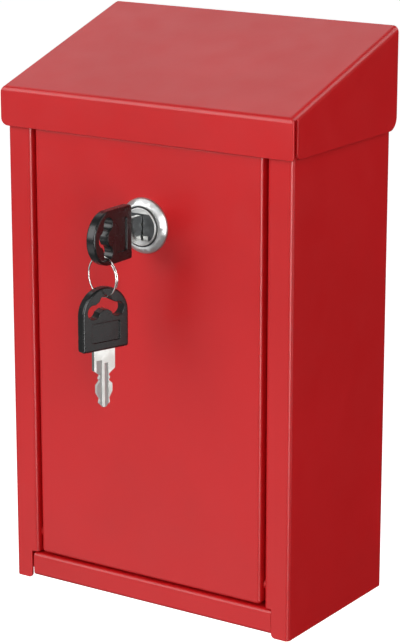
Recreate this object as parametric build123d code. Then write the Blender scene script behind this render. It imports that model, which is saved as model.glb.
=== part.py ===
from build123d import *

import math
import os

# Frame: X to the right, -Y to the front, +Z up, millimetres.
# The origin is the middle of the four wall holes, on the wall.

# Sheet metal
sheet = 1.2
bend_out = 2.0
bend_in = bend_out - sheet
cut_past = 20.0

# Box
box_width = 150.2
box_depth = 82.9
strip_width = 12.75
strip_return = 9.5
strip_foot_width = 9.0
strip_foot_radius = 2.0

# Wall holes and the drawn pads that stand the box off the wall
hole_height = 120.0
hole_spacing_x = 90.0
hole_spacing_z = 150.0
hole_radius = 2.75
wall_gap = 5.0
pad_face_radius = 9.0
pad_base_radius = 13.0

# Bottom pan and the rail under the door
rail_lift = 1.4
rail_height = 11.4
rail_return = 8.0
rail_end_gap = 0.5
rail_aside = 0.35
rail_setback = 0.2
pan_flange = 10.0
corner_relief = 2.5

# Hood
hood_side_gap = 0.6
hood_front_gap = 1.4
hood_rear_overhang = 2.3
hood_skirt = 17.7
hood_bottom = 215.3
hood_slope = 18.1
hood_rest_gap = 0.45
hood_bend = 2.8
hood_seam = 2.2
hood_seam_drop = 0.6
front_corner_left = 3.5
front_corner_right = 0.8
side_corner_front = 3.0
side_corner_rear = 6.0

# Hinge of the hood
hinge_length = 120.0
hinge_knuckles = 9
hinge_end_gap = 0.3
hinge_pin_radius = 1.0
hinge_knuckle_radius = 1.75
hinge_leaf = 1.0
hinge_leaf_width = 14.0
hinge_pin_inset = 1.5
hinge_head = 0.8
running_gap = 0.05
turning_gap = 0.3

# Slot plate and the tab that the cam turns behind
slot_length = 100.0
slot_width = 12.0
slot_radius = 2.0
slot_lip = 4.0
slot_from_front = 41.5
plate_flange = 9.0
plate_side_gap = 0.3
header_gap = 0.8
header_height = 6.9
strike_width = 34.0
strike_drop = 15.0
strike_foot = 12.0
strike_gap = 0.8

# Door
door_side_gap = 2.1
door_bottom_gap = 1.3
door_top_gap = 0.2
door_depth = 11.0
door_bend = 1.8
door_top_bend = 0.9
door_corner = 2.0
pivot_height = 23.0
pivot_inset = 5.2
pivot_radius = 2.0
pivot_shoulder_radius = 2.7
pivot_head_radius = 3.0
pivot_head = 1.2
pivot_tail = 3.0

# Lock
lock_x = -0.5
lock_drop = 37.2
bezel_radius = 12.5
bezel_rim = 0.8
bezel_round = 1.5
bezel_proud = 3.0
bezel_lip = 0.45
bezel_wall = 0.9
groove_gap = 0.65
groove_depth = 1.7
barrel_radius = 9.4
barrel_flat = 8.0
barrel_length = 19.5
barrel_fit = 0.2
housing_flange = 1.2
plug_radius = 7.0
plug_head_radius = 8.5
plug_proud = 0.5
plug_rim = 0.8
plug_rim_depth = 0.35
plug_gap = 0.2
plug_edge = 0.3
shank_half = 4.0
shank_fit = 0.05
shank_short = 0.2
recess_depth = 1.4
recess_height = 11.8
insert_thick = 0.5
insert_fit = 0.05
step_inset = 1.5
step_width = 2.4
step_rise = 2.0
step_back = 0.5
keyway_width = 2.2
keyway_height = 9.2
keyway_depth = 20.0
nut_flats = 24.0
nut_thick = 4.0
washer_thick = 0.8
washer_radius = 12.6
washer_teeth = 14
washer_notch = 1.4
wafer_count = 5
wafer_first = 3.0
wafer_pitch = 2.6
wafer_thick = 1.0
wafer_width = 6.0
wafer_height = 12.4
wafer_gap = 0.1
stop_radius = 9.0
stop_thick = 0.8
stop_tab_reach = 2.0
stop_tab_half = 2.4
cam_thick = 2.0
cam_hub_radius = 9.0
cam_reach = 40.0
cam_width = 14.0
screw_radius = 2.5
screw_length = 6.5
screw_flats = 8.0
screw_head = 3.5
screw_chamfer = 0.4
screw_tip_gap = 0.5
cam_washer_radius = 5.6
cam_washer_thick = 1.0

# Keys
bow_width = 23.9
bow_length = 27.8
bow_thick = 4.7
bow_edge = 1.0
bow_corner = 1.2
lobe_radius = 3.2
lobe_side = 6.2
lobe_side_height = 17.6
lobe_top_height = 21.2
lobe_link = 2.2
panel_width = 14.7
panel_height = 8.6
panel_from_edge = 3.8
panel_recess = 0.7
panel_corner = 1.0
blade_thick = 1.8
shoulder_width = 11.0
shoulder_length = 9.0
key_stop_gap = 0.1
tang_width = 8.0
tang_length = 9.0
groove_cut = 0.5
groove_start = 0.12
neck_run = 2.4
neck_half = 2.1
bitting = [
    (neck_run, neck_half),
    (4.0, 2.8),
    (5.0, 2.2),
    (6.9, 4.0),
    (10.3, 4.0),
    (13.2, 2.2),
    (14.9, 2.7),
    (17.0, 0.9),
]
blade_grooves = [(-4.3, -1.5, 4.6), (0.0, 1.9, 6.2)]

# Ring and the spare key that hangs from it
ring_radius = 8.8
ring_wire = 0.38
ring_pitch = 0.9
ring_overlap = 70.0
ring_overlap_start = -25.0
ring_turn = -11.0
ring_lean = 8.0
ring_seat_gap = 0.85
spare_turn = 71.0
spare_seat_gap = 0.5

# Places that follow from the sizes above
bottom = -hole_height
half_width = box_width / 2
back = -wall_gap
front = back - box_depth
strip_edge = half_width - strip_width
rail_bottom = bottom + rail_lift
rail_top = rail_bottom + rail_height
strip_foot_top = rail_top + (door_bottom_gap / 2)
slope = math.radians(hood_slope)
hood_half = half_width + hood_side_gap + sheet
hood_front = front - hood_front_gap - sheet
hood_rear = back + hood_rear_overhang
skirt_bottom = bottom + hood_bottom
skirt_top = skirt_bottom + hood_skirt
door_half = strip_edge - door_side_gap
door_bottom = rail_top + door_bottom_gap
door_top = skirt_bottom - door_top_gap
door_inside = front + sheet
pivot_y = front + pivot_inset
pivot_z = bottom + pivot_height
header_bottom = door_top + header_gap
plate_top = header_bottom + header_height
plate_under = plate_top - sheet
plate_half = half_width - sheet
header_front = front + rail_setback
strip_back = front + strip_return
slot_y = front + slot_from_front
pin_y = back - hinge_pin_inset
pin_depth = sheet + turning_gap + hinge_knuckle_radius
lock_z = skirt_bottom - lock_drop
plug_face = front - bezel_proud - plug_proud
recess_floor = plug_face + recess_depth
insert_face = recess_floor - insert_thick
housing_face = front - bezel_proud + groove_depth
barrel_back = front + barrel_length
cam_front = barrel_back + turning_gap + stop_thick
cam_back = cam_front + cam_thick
strike_back = cam_front - strike_gap
shoulder_half = shoulder_width / 2
taper_outside = (shoulder_half - keyway_height / 2) * neck_run / (shoulder_half - neck_half)
bow_near = insert_face - key_stop_gap - taper_outside - shoulder_length
wall_holes = [
    (side * hole_spacing_x / 2, level * hole_spacing_z / 2)
    for side in (-1, 1)
    for level in (-1, 1)
]


def block(x0, x1, y0, y1, z0, z1):
    """A box between two corners."""
    middle = Pos((x0 + x1) / 2, (y0 + y1) / 2, (z0 + z1) / 2)
    return middle * Box(abs(x1 - x0), abs(y1 - y0), abs(z1 - z0))


def along_x(radius, x0, x1, y, z):
    """A round bar along X."""
    return Pos((x0 + x1) / 2, y, z) * Rot(0, 90, 0) * Cylinder(radius, abs(x1 - x0))


def along_y(radius, y0, y1, x=lock_x, z=lock_z):
    """A round bar along Y, on the lock's axis unless told otherwise."""
    return Pos(x, (y0 + y1) / 2, z) * Rot(90, 0, 0) * Cylinder(radius, abs(y1 - y0))


def cone_y(radius0, radius1, y0, y1, x, z):
    """A frustum along Y with radius0 at y0 and radius1 at y1, for y0 below y1."""
    return Pos(x, (y0 + y1) / 2, z) * Rot(-90, 0, 0) * Cone(radius0, radius1, y1 - y0)


def slab_x(points, x0, x1):
    """A prism along X over an outline given as (y, z) points."""
    outline = Polyline(*[(x0, y, z) for y, z in points], close=True)
    return extrude(make_face(outline), amount=x1 - x0, dir=(1, 0, 0))


def hexagon_y(flats, y0, y1):
    """A hexagonal bar along Y on the lock's axis."""
    face = Plane((lock_x, y0, lock_z), x_dir=(1, 0, 0), z_dir=(0, 1, 0)) * RegularPolygon(
        flats / 2, 6, major_radius=False
    )
    return extrude(face, amount=y1 - y0, dir=(0, 1, 0))


def edges_near(shape, axis, places, reach=0.6):
    """The edges along an axis whose middles lie within reach of a place, on its two given coordinates."""
    found = []
    for edge in shape.edges().filter_by(axis):
        centre = edge.center()
        for place in places:
            offsets = [abs(a - b) for a, b in zip((centre.X, centre.Y, centre.Z), place) if b is not None]
            if max(offsets) < reach:
                found.append(edge)
                break
    return found


def hood_outer_z(y):
    """Height of the hood's outer top face, before its bends are rounded."""
    return skirt_top + (y - hood_front) * math.tan(slope)


def hood_inner_z(y):
    """Height of the hood's inner top face."""
    return hood_outer_z(y) - sheet / math.cos(slope)


pin_z = hood_outer_z(pin_y) - pin_depth / math.cos(slope)
panel_top = pin_z - hinge_knuckle_radius - turning_gap
side_top_front = hood_inner_z(front) - hood_rest_gap
side_top_back = hood_inner_z(back) - hood_rest_gap


def make_body_shell():
    """Back, sides, front strips and their returns, folded from one sheet."""
    left = [
        (-strip_edge, strip_back),
        (-strip_edge, front),
        (-half_width, front),
        (-half_width, back),
    ]
    right = [(-x, y) for x, y in reversed(left)]
    fold = FilletPolyline(*[(x, y, bottom) for x, y in left + right], radius=bend_out)
    section = make_face(offset(fold, amount=sheet, side=Side.RIGHT))
    shell = extrude(section, amount=side_top_back - bottom, dir=(0, 0, 1))
    above = [
        (front - 1, side_top_front - math.tan(slope)),
        (back + 1, side_top_back + math.tan(slope)),
        (back + 1, side_top_back + cut_past),
        (front - 1, side_top_back + cut_past),
    ]
    shell -= slab_x(above, -half_width - 1, half_width + 1)
    inside = plate_half - bend_in
    shell -= block(-inside, inside, back - sheet - 1, back + 1, panel_top, side_top_back + cut_past)
    relief = hinge_knuckle_radius / 2
    wide = half_width + 1
    shell -= block(-wide, wide, pin_y - relief, back + 1, pin_z + relief, side_top_back + cut_past)
    foot_edge = half_width - strip_foot_width
    for side in (-1, 1):
        shell -= block(
            side * foot_edge, side * (strip_edge - 1), front - 1, strip_back + 1, bottom - 1, strip_foot_top
        )
        shell -= along_x(pivot_radius, side * (strip_edge - 1), side * (strip_edge + 3), pivot_y, pivot_z)
    corners = edges_near(shell, Axis.Y, [(side * foot_edge, front + sheet / 2, bottom) for side in (-1, 1)])
    shell = fillet(corners, strip_foot_radius)
    for x, z in wall_holes:
        shell += cone_y(pad_base_radius, pad_face_radius, back, 0, x, z)
        shell -= cone_y(pad_base_radius, pad_face_radius, back - sheet, -sheet, x, z)
        shell -= along_y(hole_radius, -sheet - 1, 1, x, z)
    return shell


def make_bottom_pan():
    """Floor with turned-up edges, and the rail under the door with its top folded back."""
    rail_front = front + rail_setback
    rail_back = rail_front + rail_return
    rail_half = half_width - strip_foot_width - rail_end_gap
    floor_back = back - sheet
    floor_front = strip_back + 1
    fold = FilletPolyline(
        (0, rail_back, rail_top),
        (0, rail_front, rail_top),
        (0, rail_front, rail_bottom),
        (0, floor_back, rail_bottom),
        (0, floor_back, rail_bottom + pan_flange),
        radius=bend_out,
    )
    section = make_face(offset(fold, amount=sheet, side=Side.RIGHT))
    pan = Pos(rail_aside, 0, 0) * extrude(section, amount=rail_half, dir=(1, 0, 0), both=True)
    for side in (-1, 1):
        inner = side * (rail_half - 1)
        outer = side * plate_half
        flange = outer - side * sheet
        side_back = floor_back - corner_relief
        pan += block(inner, outer, floor_front, side_back, rail_bottom, rail_bottom + sheet)
        pan += block(flange, outer, floor_front, side_back, rail_bottom, rail_bottom + pan_flange)
    return pan


def make_slot_plate():
    """Inner top with the lipped deposit slot, edges folded down, and the rail above the door."""
    plate_back = back - sheet
    header_half = strip_edge - plate_side_gap
    plate_front = strip_back + plate_side_gap
    side_back = plate_back - corner_relief
    fold = FilletPolyline(
        (0, header_front, header_bottom),
        (0, header_front, plate_top),
        (0, plate_back, plate_top),
        (0, plate_back, plate_top - plate_flange),
        radius=bend_out,
    )
    section = make_face(offset(fold, amount=sheet, side=Side.RIGHT))
    plate = extrude(section, amount=header_half, dir=(1, 0, 0), both=True)
    for side in (-1, 1):
        outer = side * plate_half
        flange = outer - side * sheet
        plate += block(side * (header_half - 1), outer, plate_front, side_back, plate_under, plate_top)
        plate += block(flange, outer, plate_front, side_back, plate_top - plate_flange, plate_top)
    lip = Pos(0, slot_y, plate_top - slot_lip) * extrude(
        RectangleRounded(slot_length + 2 * sheet, slot_width + 2 * sheet, slot_radius + sheet), slot_lip
    )
    opening = Pos(0, slot_y, plate_top - slot_lip - 1) * extrude(
        RectangleRounded(slot_length, slot_width, slot_radius), slot_lip + 2
    )
    return plate + lip - opening


def make_cam_strike():
    """Angle under the slot plate: the cam turns up behind its front leg."""
    leg_front = strike_back - sheet
    fold = FilletPolyline(
        (lock_x, leg_front, plate_under - strike_drop),
        (lock_x, leg_front, plate_under),
        (lock_x, leg_front + strike_foot, plate_under),
        radius=bend_out,
    )
    section = make_face(offset(fold, amount=sheet, side=Side.RIGHT))
    return extrude(section, amount=strike_width / 2, dir=(1, 0, 0), both=True)


def knuckle_spans(first):
    """The (x0, x1) spans of every second knuckle, counted from first."""
    pitch = hinge_length / hinge_knuckles
    spans = []
    for index in range(first, hinge_knuckles, 2):
        start = -hinge_length / 2 + index * pitch
        spans.append((start + hinge_end_gap / 2, start + pitch - hinge_end_gap / 2))
    return spans


def make_hinge_leaf_body():
    """Fixed leaf on the inner face of the back, with the outer knuckles."""
    leaf_back = back - sheet
    half = hinge_length / 2
    low = pin_z - hinge_knuckle_radius - turning_gap
    leaf = block(-half, half, leaf_back - hinge_leaf, leaf_back, pin_z - hinge_leaf_width, low)
    for x0, x1 in knuckle_spans(0):
        leaf += block(x0, x1, leaf_back - hinge_leaf, leaf_back, low - 1, pin_z)
        leaf += along_x(hinge_knuckle_radius, x0, x1, pin_y, pin_z)
        leaf -= along_x(hinge_pin_radius, x0, x1, pin_y, pin_z)
    return leaf


def make_hinge_leaf_lid():
    """Moving leaf under the hood's top, with the inner knuckles."""
    tilt = Plane((0, pin_y, pin_z), x_dir=(1, 0, 0), z_dir=(0, -math.sin(slope), math.cos(slope)))
    half = hinge_length / 2
    high = pin_depth - sheet
    low = high - hinge_leaf
    near = -hinge_knuckle_radius - turning_gap
    leaf = block(-half, half, -hinge_leaf_width, near, low, high)
    for x0, x1 in knuckle_spans(1):
        leaf += block(x0, x1, near - 1, 0, low, high)
        leaf += along_x(hinge_knuckle_radius, x0, x1, 0, 0)
        leaf -= along_x(hinge_pin_radius + running_gap, x0, x1, 0, 0)
    return tilt * leaf


def make_hinge_pin():
    """Pin through every knuckle, with a small head at each end."""
    half = hinge_length / 2
    pin = along_x(hinge_pin_radius, -half - hinge_head, half + hinge_head, pin_y, pin_z)
    for side in (-1, 1):
        pin += along_x(hinge_knuckle_radius, side * half, side * (half + hinge_head), pin_y, pin_z)
    return pin


def make_door_pivot(side):
    """Shouldered pin: headed behind the strip's return, its tail carries the door's flange."""
    head_start = strip_edge + sheet
    head_end = head_start + pivot_head
    tail_end = door_half - sheet - pivot_tail
    shoulder_end = door_half + turning_gap
    pin = along_x(pivot_radius, side * head_end, side * tail_end, pivot_y, pivot_z)
    pin += along_x(pivot_head_radius, side * head_start, side * head_end, pivot_y, pivot_z)
    pin += along_x(pivot_shoulder_radius, side * strip_edge, side * shoulder_end, pivot_y, pivot_z)
    return pin


def make_lid_hood():
    """Sloped top with a front flange and two side flanges, open at the rear."""
    outer = slab_x(
        [
            (hood_front, skirt_bottom),
            (hood_front, skirt_top),
            (hood_rear, hood_outer_z(hood_rear)),
            (hood_rear, skirt_bottom),
        ],
        -hood_half,
        hood_half,
    )
    outer = fillet(hood_bends(outer, hood_half, hood_front, skirt_top), hood_bend)
    inner_half = hood_half - sheet
    inner_front = hood_front + sheet
    inner = slab_x(
        [
            (inner_front, skirt_bottom - 5),
            (inner_front, hood_inner_z(inner_front)),
            (hood_rear + 5, hood_inner_z(hood_rear + 5)),
            (hood_rear + 5, skirt_bottom - 5),
        ],
        -inner_half,
        inner_half,
    )
    inner_bends = hood_bends(inner, inner_half, inner_front, hood_inner_z(inner_front))
    inner = fillet(inner_bends, hood_bend - sheet)
    hood = outer - inner
    seam_back = inner_front + hood_seam
    seam_top = skirt_top - hood_seam_drop
    for side in (-1, 1):
        x0 = side * inner_half
        hood -= block(x0, side * (hood_half + 1), inner_front, seam_back, skirt_bottom - 1, seam_top)
    middle = hood_half - sheet / 2
    rounds = [
        (Axis.Y, (-hood_half, hood_front + sheet / 2, skirt_bottom), front_corner_left),
        (Axis.Y, (hood_half, hood_front + sheet / 2, skirt_bottom), front_corner_right),
    ]
    for side in (-1, 1):
        rounds.append((Axis.X, (side * middle, seam_back, skirt_bottom), side_corner_front))
        rounds.append((Axis.X, (side * middle, hood_rear, skirt_bottom), side_corner_rear))
    for axis, place, radius in rounds:
        hood = fillet(edges_near(hood, axis, [place]), radius)
    return hood


def hood_bends(solid, half, y_front, z_front):
    """The front top edge and the two sloped side edges of a hood-shaped prism."""
    bends = edges_near(solid, Axis.X, [(0, y_front, z_front)])
    for edge in solid.edges():
        centre = edge.center()
        rise = abs((edge @ 1).Z - (edge @ 0).Z)
        run = abs((edge @ 1).Y - (edge @ 0).Y)
        if abs(abs(centre.X) - half) < 0.01 and rise > 1 and run > 1:
            bends.append(edge)
    return bends


def below_top(edges, top):
    """The edges of a face that don't lie along its top."""
    return [edge for edge in edges if edge.center().Z < top - 0.01]


def make_door_panel():
    """Door pan with its four edges folded back, a double-flat lock hole and two pivot holes."""
    door_back = front + door_depth
    inner_half = door_half - sheet
    outer = block(-door_half, door_half, front, door_back, door_bottom, door_top)
    outer = fillet(outer.edges().filter_by(Axis.Y).group_by(Axis.Z)[0], door_corner)
    outer = fillet(below_top(outer.faces().sort_by(Axis.Y)[0].edges(), door_top), door_bend)
    lips = outer.faces().sort_by(Axis.Z)[-1].edges()
    outer = fillet([edge for edge in lips if edge.center().Y < door_back - 0.01], door_top_bend)
    inner = block(-inner_half, inner_half, door_inside, door_back + 5, door_bottom + sheet, door_top - sheet)
    inner = fillet(inner.edges().filter_by(Axis.Y).group_by(Axis.Z)[0], door_corner - sheet)
    inner = fillet(below_top(inner.faces().sort_by(Axis.Y)[0].edges(), door_top - sheet), door_bend - sheet)
    door = outer - inner
    hole = along_y(barrel_radius + barrel_fit, front - 1, door_inside + 1)
    flat = barrel_flat + barrel_fit
    low = lock_z - cut_past
    high = lock_z + cut_past
    hole &= block(lock_x - flat, lock_x + flat, front - 1, door_inside + 1, low, high)
    door -= hole
    for side in (-1, 1):
        pivot_hole = pivot_radius + running_gap
        door -= along_x(pivot_hole, side * (inner_half - 1), side * (door_half + 1), pivot_y, pivot_z)
    return door


def turned(points):
    """A solid of revolution about the lock's axis from (radius, y) points."""
    outline = Polyline(*[(lock_x + r, y, lock_z) for r, y in points], close=True)
    return revolve(make_face(outline), Axis((lock_x, 0, lock_z), (0, 1, 0)))


def make_lock_bezel():
    """Trim ring with a rounded brow, hollow behind so that it caps the housing's flange."""
    face = front - bezel_proud
    inner = plug_head_radius + groove_gap
    under = front - housing_flange
    flange = bezel_radius - bezel_wall
    ring = turned(
        [
            (flange, front),
            (bezel_radius, front),
            (bezel_radius, front - bezel_rim),
            (inner + bezel_lip, face),
            (inner, face),
            (inner, under),
            (flange, under),
        ]
    )
    brow = [edge for edge in ring.edges() if abs(edge.center().Y - (front - bezel_rim)) < 0.01]
    return fillet(brow, bezel_round)


def make_lock_housing():
    """Barrel with two flats, a flange on the door's face and a low head round the plug."""
    inner = plug_head_radius + groove_gap
    flange = bezel_radius - bezel_wall
    barrel = along_y(barrel_radius, front, barrel_back)
    low = lock_z - cut_past
    high = lock_z + cut_past
    barrel &= block(lock_x - barrel_flat, lock_x + barrel_flat, front - 1, barrel_back + 1, low, high)
    housing = barrel + along_y(flange, front - housing_flange, front)
    housing += along_y(inner, housing_face, front)
    return housing - along_y(plug_radius + running_gap, housing_face - 1, barrel_back + 1)


def make_lock_washer():
    """Washer with teeth round its rim, between the door and the nut."""
    washer = along_y(washer_radius, door_inside, door_inside + washer_thick)
    washer -= along_y(barrel_radius + barrel_fit, door_inside - 1, door_inside + 2)
    for index in range(washer_teeth):
        angle = math.radians(360 / washer_teeth * index)
        x = lock_x + washer_radius * math.cos(angle)
        z = lock_z + washer_radius * math.sin(angle)
        washer -= along_y(washer_notch / 2, door_inside - 1, door_inside + 2, x, z)
    return washer


def make_lock_nut():
    """Hexagon nut on the barrel's thread."""
    start = door_inside + washer_thick
    nut = hexagon_y(nut_flats, start, start + nut_thick)
    return nut - along_y(barrel_radius, start - 1, start + nut_thick + 1)


def keyway(y0, y1):
    """The upright slot for the blade between two depths."""
    half = keyway_width / 2
    tall = keyway_height / 2
    return block(lock_x - half, lock_x + half, y0, y1, lock_z - tall, lock_z + tall)


def face_recess(y0, y1, shrink=0.0):
    """The wide recess across the plug's face."""
    tall = recess_height / 2 - shrink
    reach = plug_head_radius - plug_rim
    bar = block(lock_x - reach, lock_x + reach, y0, y1, lock_z - tall, lock_z + tall)
    return bar & along_y(reach - shrink, y0, y1)


def recess_step(y0, y1, grow=0.0):
    """The small step that stands up from the lower edge of the plug's recess, beside the keyway."""
    left = lock_x + step_inset
    low = lock_z - recess_height / 2
    return block(left - grow, left + step_width + grow, y0, y1, low - grow, low + step_rise + grow)


def make_lock_plug():
    """Turning core: rimmed head, round barrel with wafer slots, and a square shank for the cam."""
    plug = along_y(plug_head_radius, plug_face, housing_face - plug_gap)
    plug = fillet(plug.edges().group_by(Axis.Y)[0], plug_edge)
    plug -= along_y(plug_head_radius - plug_rim, plug_face - 1, plug_face + plug_rim_depth)
    plug -= face_recess(plug_face - 1, recess_floor)
    plug += recess_step(plug_face + step_back, recess_floor)
    plug += along_y(plug_radius, recess_floor, barrel_back + turning_gap / 2)
    plug += block(
        lock_x - shank_half,
        lock_x + shank_half,
        barrel_back,
        cam_back - shank_short,
        lock_z - shank_half,
        lock_z + shank_half,
    )
    plug -= keyway(plug_face - 1, recess_floor + keyway_depth)
    half = wafer_width / 2 + wafer_gap
    for y in wafer_places():
        plug -= block(
            lock_x - half, lock_x + half, y - wafer_gap, y + wafer_thick + wafer_gap, lock_z - 10, lock_z + 10
        )
    return plug - along_y(screw_radius, cam_back - screw_length, cam_back + 1)


def wafer_places():
    """Front faces of the wafers, counted back from the door's face."""
    return [front + wafer_first + index * wafer_pitch for index in range(wafer_count)]


def make_plug_insert():
    """Dark plate on the floor of the plug's recess, pierced by the keyway."""
    plate = face_recess(insert_face, recess_floor, insert_fit)
    plate -= recess_step(insert_face - 1, recess_floor + 1, insert_fit)
    return plate - keyway(insert_face - 1, recess_floor + 1)


def make_lock_wafers():
    """Sliding wafers, each with a window that the blade passes through."""
    wafers = []
    half = wafer_width / 2
    tall = wafer_height / 2
    for y in wafer_places():
        wafer = block(lock_x - half, lock_x + half, y, y + wafer_thick, lock_z - tall, lock_z + tall)
        wafers.append(wafer - keyway(y - 1, y + wafer_thick + 1))
    return Compound(children=wafers)


def shank_hole(y0, y1):
    """Square hole that fits the plug's shank."""
    half = shank_half + shank_fit
    return block(lock_x - half, lock_x + half, y0, y1, lock_z - half, lock_z + half)


def make_stop_washer():
    """Washer that turns with the shank, with one tab that meets the barrel's stop."""
    start = cam_front - stop_thick
    washer = along_y(stop_radius, start, cam_front)
    tab_end = lock_x - stop_radius - stop_tab_reach
    washer += block(tab_end, lock_x, start, cam_front, lock_z - stop_tab_half, lock_z + stop_tab_half)
    return washer - shank_hole(start - 1, cam_front + 1)


def make_lock_cam():
    """Flat cam, lying to the left while the lock is open."""
    hub = along_y(cam_hub_radius, cam_front, cam_back)
    arm_end = lock_x - cam_reach + cam_width / 2
    half = cam_width / 2
    arm = block(arm_end, lock_x, cam_front, cam_back, lock_z - half, lock_z + half)
    tip = along_y(half, cam_front, cam_back, arm_end, lock_z)
    return hub + arm + tip - shank_hole(cam_front - 1, cam_back + 1)


def make_cam_washer():
    """Plain washer under the screw's head."""
    washer = along_y(cam_washer_radius, cam_back, cam_back + cam_washer_thick)
    return washer - along_y(screw_radius, cam_back - 1, cam_back + cam_washer_thick + 1)


def make_cam_screw():
    """Hexagon screw that holds the cam on the plug."""
    head_start = cam_back + cam_washer_thick
    head = hexagon_y(screw_flats, head_start, head_start + screw_head)
    head = chamfer(head.edges().group_by(Axis.Y)[-1], screw_chamfer)
    return head + along_y(screw_radius, cam_back - screw_length + screw_tip_gap, head_start)


def flat(points):
    """A face in the key's own plane: x across the bow, y from the blade towards the bow's end."""
    return make_face(Polyline(*points, close=True))


def make_key_bow(place):
    """Moulded bow with a three-lobed hole, a recessed panel on each side and a socket for the tang."""
    radius = bow_width / 2
    body = Rectangle(bow_width, bow_length - radius, align=(Align.CENTER, Align.MIN))
    body = fillet(body.vertices().group_by(Axis.Y)[0], bow_corner)
    body += Pos(0, bow_length - radius) * Circle(radius)
    bow = extrude(body, amount=bow_thick / 2, both=True)
    rims = bow.edges().group_by(Axis.Z)
    bow = fillet(rims[0] + rims[-1], bow_edge)
    hole = Pos(0, lobe_top_height) * Circle(lobe_radius)
    link_length = math.hypot(lobe_side, lobe_top_height - lobe_side_height)
    link_angle = math.degrees(math.atan2(lobe_top_height - lobe_side_height, lobe_side))
    for side in (-1, 1):
        hole += Pos(side * lobe_side, lobe_side_height) * Circle(lobe_radius)
        middle = Pos(side * lobe_side / 2, (lobe_side_height + lobe_top_height) / 2)
        hole += middle * Rot(0, 0, -side * link_angle) * Rectangle(link_length, 2 * lobe_link)
    bow -= extrude(hole, amount=bow_thick, both=True)
    panel_middle = Pos(0, panel_from_edge + panel_height / 2)
    panel = panel_middle * RectangleRounded(panel_width, panel_height, panel_corner)
    for side in (-1, 1):
        face_level = side * (bow_thick / 2 - panel_recess)
        bow -= Pos(0, 0, face_level) * extrude(panel, amount=side * bow_thick)
    return place * (bow - tang())


def tang():
    """The part of the blade inside the bow."""
    half = tang_width / 2
    outline = flat([(-half, -1), (half, -1), (half, tang_length), (-half, tang_length)])
    return extrude(outline, blade_thick / 2, both=True)


def groove(side, u0, u1, y0, y1):
    """A cut along one face of the blade that deepens across its width to an upright wall."""
    shallow = side * (blade_thick / 2 - groove_start)
    deep = side * (blade_thick / 2 - groove_cut)
    over = side * blade_thick
    points = [(side * u0, y0, shallow), (side * u1, y0, deep), (side * u1, y0, over), (side * u0, y0, over)]
    return extrude(make_face(Polyline(*points, close=True)), amount=y1 - y0, dir=(0, 1, 0))


def make_key_blade(place):
    """Double-bitted blade with milled grooves and a tang that runs into the bow."""
    right = [(shoulder_half, 0), (shoulder_half, -shoulder_length)]
    right += [(reach, -shoulder_length - run) for run, reach in bitting]
    left = [(-x, y) for x, y in reversed(right)]
    blade = extrude(flat(right + left), blade_thick / 2, both=True) + tang()
    tip = -shoulder_length - bitting[-1][0] - 1
    for u0, u1, start in blade_grooves:
        for side in (-1, 1):
            blade -= groove(side, u0, u1, tip, -start)
    return place * blade


def heading(turn):
    """Level direction that a face points in, turned from the front towards the right."""
    angle = math.radians(turn)
    return Vector(math.sin(angle), -math.cos(angle), 0)


def key_in_lock():
    """Place of the key in the lock: upright, its bow towards the front."""
    return Plane((lock_x, bow_near, lock_z), x_dir=(0, 0, 1), z_dir=(1, 0, 0)).location


def ring_level():
    """Level direction in the ring's own plane."""
    return Vector(0, 0, 1).cross(heading(ring_turn))


def ring_top():
    """Middle of the wire where the ring hangs in the lower lobe of the key's bow."""
    drop = lobe_side + lobe_radius - ring_wire - ring_seat_gap
    return Vector(lock_x, bow_near - lobe_side_height, lock_z - drop)


def ring_centre():
    """Middle of the ring, which leans a little to one side of where it hangs."""
    lean = math.radians(ring_lean)
    aside = ring_radius * math.sin(lean)
    below = ring_radius * math.cos(lean)
    return ring_top() - ring_level() * aside - Vector(0, 0, below)


def ring_bottom():
    """Middle of the wire where the spare key hangs."""
    return ring_centre() - Vector(0, 0, ring_radius)


def spare_place():
    """Place of the spare key: hanging, its bow at the top."""
    hole_top = lobe_top_height + lobe_radius
    lift = ring_wire + spare_seat_gap
    origin = ring_bottom() + Vector(0, 0, lift - hole_top)
    normal = heading(spare_turn)
    return Plane(origin, x_dir=Vector(0, 0, 1).cross(normal), z_dir=normal).location


def make_key_ring():
    """Wire ring whose ends lie side by side."""
    turns = 1 + ring_overlap / 360
    normal = heading(ring_turn)
    angle = math.radians(ring_overlap_start)
    start = ring_level() * math.cos(angle) + Vector(0, 0, 1) * math.sin(angle)
    height = ring_pitch * turns
    plane = Plane(ring_centre() - normal * (height / 2), x_dir=start, z_dir=normal)
    path = plane * Helix(pitch=ring_pitch, height=height, radius=ring_radius)
    section = Plane(path @ 0, z_dir=path % 0) * Circle(ring_wire)
    return sweep(section, path=path)


def make_all():
    """Every piece by its name."""
    lock_key = key_in_lock()
    spare = spare_place()
    return {
        "body_shell": make_body_shell(),
        "bottom_pan": make_bottom_pan(),
        "slot_plate": make_slot_plate(),
        "cam_strike": make_cam_strike(),
        "hinge_leaf_body": make_hinge_leaf_body(),
        "hinge_pin": make_hinge_pin(),
        "door_pivot_left": make_door_pivot(-1),
        "door_pivot_right": make_door_pivot(1),
        "lid_hood": make_lid_hood(),
        "hinge_leaf_lid": make_hinge_leaf_lid(),
        "door_panel": make_door_panel(),
        "lock_bezel": make_lock_bezel(),
        "lock_housing": make_lock_housing(),
        "lock_washer": make_lock_washer(),
        "lock_nut": make_lock_nut(),
        "lock_plug": make_lock_plug(),
        "plug_insert": make_plug_insert(),
        "lock_wafers": make_lock_wafers(),
        "stop_washer": make_stop_washer(),
        "lock_cam": make_lock_cam(),
        "cam_washer": make_cam_washer(),
        "cam_screw": make_cam_screw(),
        "key_blade": make_key_blade(lock_key),
        "key_bow": make_key_bow(lock_key),
        "key_ring": make_key_ring(),
        "spare_key_blade": make_key_blade(spare),
        "spare_key_bow": make_key_bow(spare),
    }


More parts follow.
